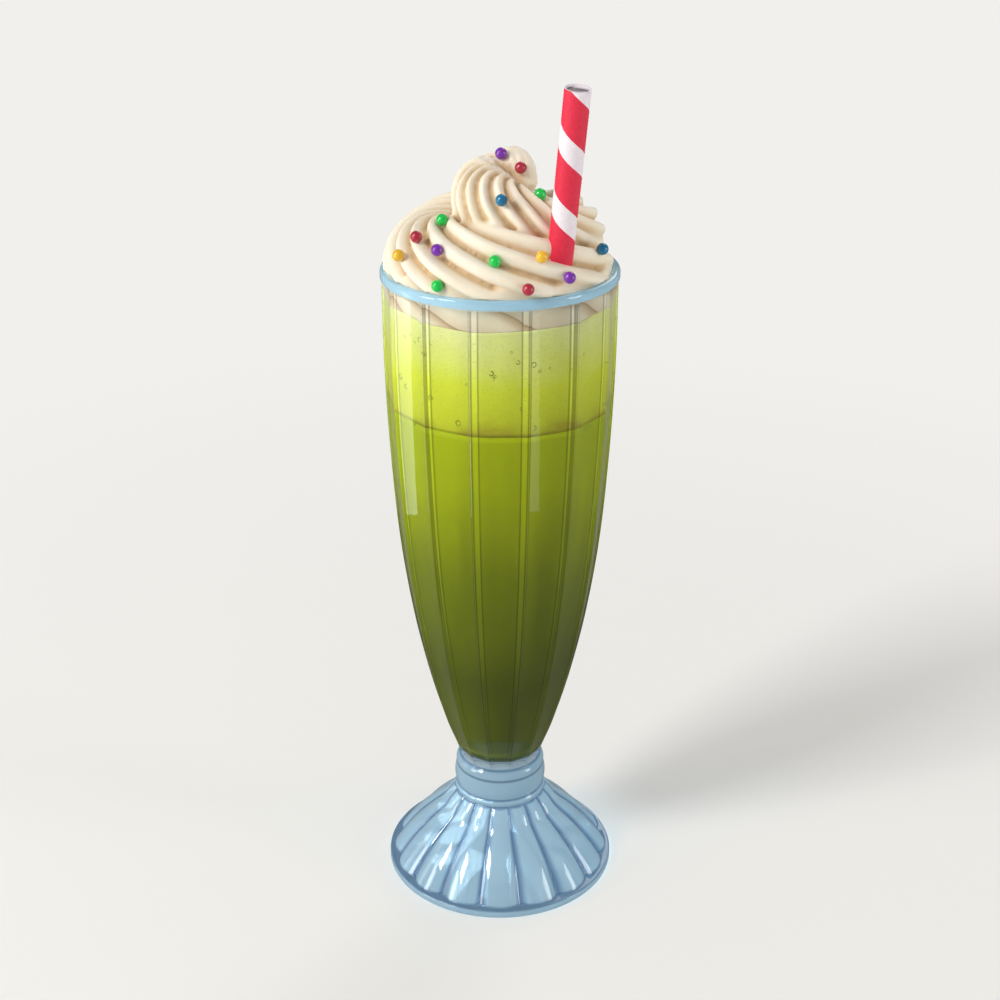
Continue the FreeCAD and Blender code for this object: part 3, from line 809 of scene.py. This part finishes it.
def fitToGlass(bm):              # the cream is pressed against the wall and over the rim
    edge = glass["rimRound"]
    inner = glass["rim"] - glass["wall"]
    for vert in bm.verts:
        away = math.hypot(vert.co.x, vert.co.y)
        inGlass = vert.co.z < rimTop - edge
        if inGlass:
            most = roomRadius(vert.co.z) + cream["intoWall"]
        elif vert.co.z < rimTop + cream["clearOfRim"]:       # over the rim's round edge
            up = min(vert.co.z - (rimTop - edge), edge)
            most = inner + edge - math.sqrt(max(edge ** 2 - up ** 2, 0)) + cream["intoWall"]
        else:
            most = glass["rim"] + cream["overRim"]
        if away > most:
            vert.co.x *= most / away
            vert.co.y *= most / away
        if inGlass:              # its lower edge follows the froth's wavy top
            low = creamLevel(math.atan2(vert.co.y, vert.co.x))
            vert.co.z = max(vert.co.z, low - cream["tuck"])


def smoothed(bm, rounds):        # each point moves halfway to the middle of its neighbours
    for number in range(rounds):
        bmesh.ops.smooth_vert(bm, verts=bm.verts, factor=0.5, use_axis_x=True,
                              use_axis_y=True, use_axis_z=True)


def markHollows(bm):             # how deep each point lies between its neighbours, 0 to 1, which sets the painted shade in the grooves
    hollow = bm.verts.layers.float.new("hollow")
    bm.normal_update()
    before = [vert.co.copy() for vert in bm.verts]
    smoothed(bm, cream["hollowRounds"])
    depths = []
    for vert, place in zip(bm.verts, before):
        lifted = (vert.co - place).dot(vert.normal)
        depths.append(min(max(lifted / cream["hollowDepth"], 0), 1))
        vert.co = place
    bm.verts.index_update()
    around = [[edge.other_vert(vert).index for edge in vert.link_edges] for vert in bm.verts]
    for number in range(cream["hollowBlur"]):
        depths = [(depth + sum(depths[index] for index in near)) / (1 + len(near))
                  for depth, near in zip(depths, around)]
    for vert, depth in zip(bm.verts, depths):
        vert[hollow] = depth


def makeCream():                 # returns the surface that the pearls sit on
    bm = joinUp(makeCreamForm(), cream["grid"])
    smoothed(bm, cream["softened"])
    fitToGlass(bm)
    markHollows(bm)
    surface = BVHTree.FromBMesh(bm)
    makePiece("pipedCream", bm, [creamMaterial()], replaced=["whipped_cream"])
    return surface


def creamMaterial():
    # whipped dairy cream: fat and air scatter the light, so shadows stay warm and soft
    material, tree = newMaterial("whipped cream")
    place = placeIn(tree)
    clouds = addNode(tree, "TexNoise", None, {"Scale": 0.08, "Detail": 3}, {"Vector": place})
    colour = addNode(tree, "ValToRGB", links={"Fac": clouds},
                     stops=[(0.3, "EEE2C9"), (0.7, "F4EBD8")])
    shine = addNode(tree, "MapRange", None, {"To Min": 0.42, "To Max": 0.6}, {"Value": clouds})
    grain = addNode(tree, "TexNoise", None, {"Scale": 1.4, "Detail": 3},
                    {"Vector": place})                          # air bubbles under 1 mm
    bump = addNode(tree, "Bump", None, {"Strength": 0.25, "Distance": 0.00015},
                   {"Height": grain})
    hollow = addNode(tree, "Attribute", {"attribute_name": "hollow"})
    # painted shade, darker where a point lies deeper in a groove
    hollowShade = addNode(tree, "ValToRGB", links={"Fac": hollow.outputs["Fac"]},
                      stops=[(0.03, "FFFFFF"), (0.35, "E8D6BE"), (0.9, "C4AA8A")])
    # painted crease shade times the painted light of the ribs, used below the rim
    creaseAndRibShade = addNode(tree, "Mix", multiply, {"Factor": 1},
                     {6: paintedCreaseShade(tree, place), 7: paintedRibLight(tree, place)})
    # painted shade: in the grooves above the rim, in the creases below it
    paintedShade = addNode(tree, "Mix", {"data_type": "RGBA"}, None,
                      {"Factor": belowRim(tree, place), 6: hollowShade,
                       7: creaseAndRibShade.outputs[2]})
    shaded = addNode(tree, "Mix", multiply, {"Factor": 1}, {6: colour, 7: paintedShade.outputs[2]})
    body = addNode(tree, "BsdfPrincipled", None,
                   {"IOR": 1.4, "Specular IOR Level": 0.35, "Subsurface Weight": 0.15,
                    "Subsurface Radius": (1, 0.72, 0.42), "Subsurface Scale": 0.0016},
                   {"Base Color": shaded.outputs[2], "Roughness": shine,
                    "Normal": bump})
    return surfaced(material, body)


def belowRim(tree, place):       # 1 where the cream is behind the panels, 0 above
    parts = addNode(tree, "SeparateXYZ", links={"Vector": place})
    return addNode(tree, "MapRange", None,
                   {"From Min": beadBottom + 0.4, "From Max": beadBottom - 0.4},
                   {"Value": parts.outputs["Z"]}).outputs[0]


def paintedCreaseShade(tree, place):        # painted shade: slanting creases and soft shade between pressed ridges
    height, turn = turnOf(tree, place, "Y", "X")
    slant = addNode(tree, "Math", {"operation": "MULTIPLY_ADD"},
                    {1: cream["foldSlant"]}, {0: height, 2: turn})
    sway = addNode(tree, "TexNoise", None, {"Scale": 0.045, "Detail": 1}, {"Vector": place})
    uneven = addNode(tree, "Math", {"operation": "MULTIPLY_ADD"}, {1: 0.9}, {0: sway, 2: slant})
    count = addNode(tree, "Math", {"operation": "MULTIPLY"},
                    {1: cream["folds"] / math.tau}, {0: uneven})
    share = addNode(tree, "Math", {"operation": "FRACT"}, None, {0: count})
    return addNode(tree, "ValToRGB", links={"Fac": share}, stops=[
        (0.0, "B49C7E"), (0.05, "F0E6DA"), (0.35, "FFFAF2"), (0.6, "FFFAF2"),
        (0.85, "E6D4C2"), (0.97, "D2BCA4"), (1.0, "B49C7E")]).outputs["Color"]


pearls = {                       # millimetres
    "radius": 2, "sunk": 0.45, "rows": 14,
    "beyond": 90,                # from where the cream's surface is looked for
    "bed": 1.5,                  # how far round a pearl the cream's slope is averaged
    # colour, then each one's azimuth from the right and height over the rim, in degrees, seen
    # from the rim's centre
    "kinds": {
        "purple": ("7A2FA8", [(-44.5, 88), (-123, 22), (-56, 9), (98, 34), (38, 22)]),
        "darkRed": ("B02A3E", [(-34, 76.5), (-141.5, 23), (-77.5, 5.5), (62, 48), (150, 12)]),
        "blue": ("13749C", [(-88, 51.5), (-28.5, 15), (122, 18), (20, 40)]),
        "green": ("12C84E", [(-46.5, 55), (-137.5, 39), (-92, 19.5), (-121, 3.5), (80, 10),
                             (118, 40)]),
        "yellow": ("EFBC30", [(-147, 13), (-69.5, 18), (55, 8), (135, 45)]),
    },
}


def makePearls(surface):
    middle = Vector((0, 0, rimTop))
    for name, (colour, spots) in pearls["kinds"].items():
        bm = bmesh.new()
        for azimuth, elevation in spots:
            turn, climb = math.radians(azimuth), math.radians(elevation)
            heading = Vector((math.cos(climb) * math.cos(turn),
                              math.cos(climb) * math.sin(turn), math.sin(climb)))
            hit, normal = surface.ray_cast(middle + heading * pearls["beyond"], -heading)[:2]
            near = surface.find_nearest_range(hit, pearls["bed"])
            outwards = sum((found[1] for found in near), normal).normalized()
            centre = hit + outwards * (pearls["radius"] - pearls["sunk"])
            bmesh.ops.create_uvsphere(bm, u_segments=2 * pearls["rows"],
                                      v_segments=pearls["rows"], radius=pearls["radius"],
                                      matrix=Matrix.Translation(centre))
        makePiece(name + "Pearls", bm, [pearlMaterial(name, colour)])


def pearlMaterial(name, colour):
    # sugar pearl: a boiled sugar shell with food colour, polished with wax
    material, tree = newMaterial(name + " sugar pearl")
    place = placeIn(tree)
    mottle = addNode(tree, "TexNoise", None, {"Scale": 0.7, "Detail": 2}, {"Vector": place})
    shade = addNode(tree, "MapRange", None, {"To Min": 0.9, "To Max": 1.08}, {"Value": mottle})
    tone = addNode(tree, "Mix", multiply, {"Factor": 1, 6: linear(colour)}, {7: shade})
    dimple = addNode(tree, "Bump", None, {"Strength": 0.2, "Distance": 0.0001},
                     {"Height": mottle})
    body = addNode(tree, "BsdfPrincipled", None,
                   {"Roughness": 0.28, "IOR": 1.5, "Coat Weight": 0.5, "Coat Roughness": 0.12},
                   {"Base Color": tone.outputs[2], "Normal": dimple})
    return surfaced(material, body)


straw = {                        # millimetres
    "radius": 4.3, "wall": 0.5,
    "tilt": 8.3, "heading": -56.8, "foot": (3.4, -1.5),      # degrees, and where it stands
    "pitch": 21.5,               # length of one turn of the stripe
    "columns": 50, "whiteColumns": 18,
    "seam": 0.07,                # step where the paper's edge overlaps the turn before
    "rowLength": 1.25,
    "firstTurn": 232,            # degrees; sets which stripe ends at the top
    "red": ("E52E4A", "DC2843"), "white": ("F1E8EC", "E9DEE4"),
}


def strawCircle(bm, radius, seam):       # the tube's outline with the step of the seam
    columns = straw["columns"]
    ring = bmesh.ops.create_circle(bm, segments=columns, radius=radius)["verts"]
    for number, vert in enumerate(ring):
        vert.co *= 1 + seam / radius * (number / columns - 0.5)
    return ring


def makeStraw():
    bm = bmesh.new()
    tilt, heading = math.radians(straw["tilt"]), math.radians(straw["heading"])
    low, high = boxOf("straw")
    lean = straw["radius"] * math.sin(tilt)          # the ends' middles lie inside the box
    length = (high.z - low.z - 2 * lean) / math.cos(tilt)
    rows = round(length / straw["rowLength"])
    twist = -math.tau * length / straw["pitch"]
    inner = straw["radius"] - straw["wall"]
    skin = inner + 0.6 * straw["wall"]               # the printed skin lies outside this
    starts, lasts = [], []
    for radius, seam in ((straw["radius"] - straw["seam"] / 2, straw["seam"]), (inner, 0)):
        ring = strawCircle(bm, radius, seam)
        edges = list({edge for vert in ring for edge in vert.link_edges})
        turned = bmesh.ops.spin(bm, geom=ring + edges, cent=(0, 0, 0), axis=(0, 0, 1),
                                dvec=(0, 0, length / rows), angle=twist,
                                steps=rows, use_merge=False, use_duplicate=False)
        starts += edges
        lasts += [item for item in turned["geom_last"] if isinstance(item, bmesh.types.BMEdge)]
    bmesh.ops.bridge_loops(bm, edges=starts)
    bmesh.ops.bridge_loops(bm, edges=lasts)
    bmesh.ops.recalc_face_normals(bm, faces=bm.faces)
    for face in bm.faces:        # printed stripe by its place round the twisted tube
        middle = face.calc_center_median()
        outside = math.hypot(middle.x, middle.y) > skin
        turn = math.atan2(middle.y, middle.x) - twist * middle.z / length
        white = turn / math.tau % 1 < straw["whiteColumns"] / straw["columns"]
        face.material_index = 0 if outside and not white else 1
    across = Vector((-math.sin(heading), math.cos(heading), 0))
    place = (Matrix.Translation((*straw["foot"], low.z + lean))
             @ Matrix.Rotation(tilt, 4, across)
             @ Matrix.Rotation(math.radians(straw["firstTurn"]), 4, "Z"))
    bmesh.ops.transform(bm, matrix=place, verts=bm.verts)
    makePiece("paperStraw", bm, [paperMaterial("red printed paper", *straw["red"]),
                                 paperMaterial("white paper", *straw["white"])],
              replaced=["straw"])


def paperMaterial(name, colour, darker):
    # food paper with a printed stripe, rolled in a spiral: matt, with a faint fibre
    material, tree = newMaterial(name)
    place = placeIn(tree)
    along = addNode(tree, "Mapping", None,
                    {"Scale": (1, 1, 0.3), "Rotation": (0.4, 0, 0)}, {"Vector": place})
    fibre = addNode(tree, "TexNoise", None, {"Scale": 2.2, "Detail": 4},
                    {"Vector": along})        # fibres 0.5 mm thick
    tone = addNode(tree, "ValToRGB", links={"Fac": fibre},
                   stops=[(0.35, darker), (0.65, colour)])
    bump = addNode(tree, "Bump", None, {"Strength": 0.2, "Distance": 0.00008},
                   {"Height": fibre})
    body = addNode(tree, "BsdfPrincipled", None,
                   {"Roughness": 0.55, "IOR": 1.45, "Specular IOR Level": 0.4},
                   {"Base Color": tone, "Normal": bump})
    return surfaced(material, body)


makeLamps()
makeDaylight()
makeFloor()
print("studio ready")
makeGlass()
makeDrink()
makeBubbles()
makePearls(makeCream())
makeStraw()
print("pieces ready")
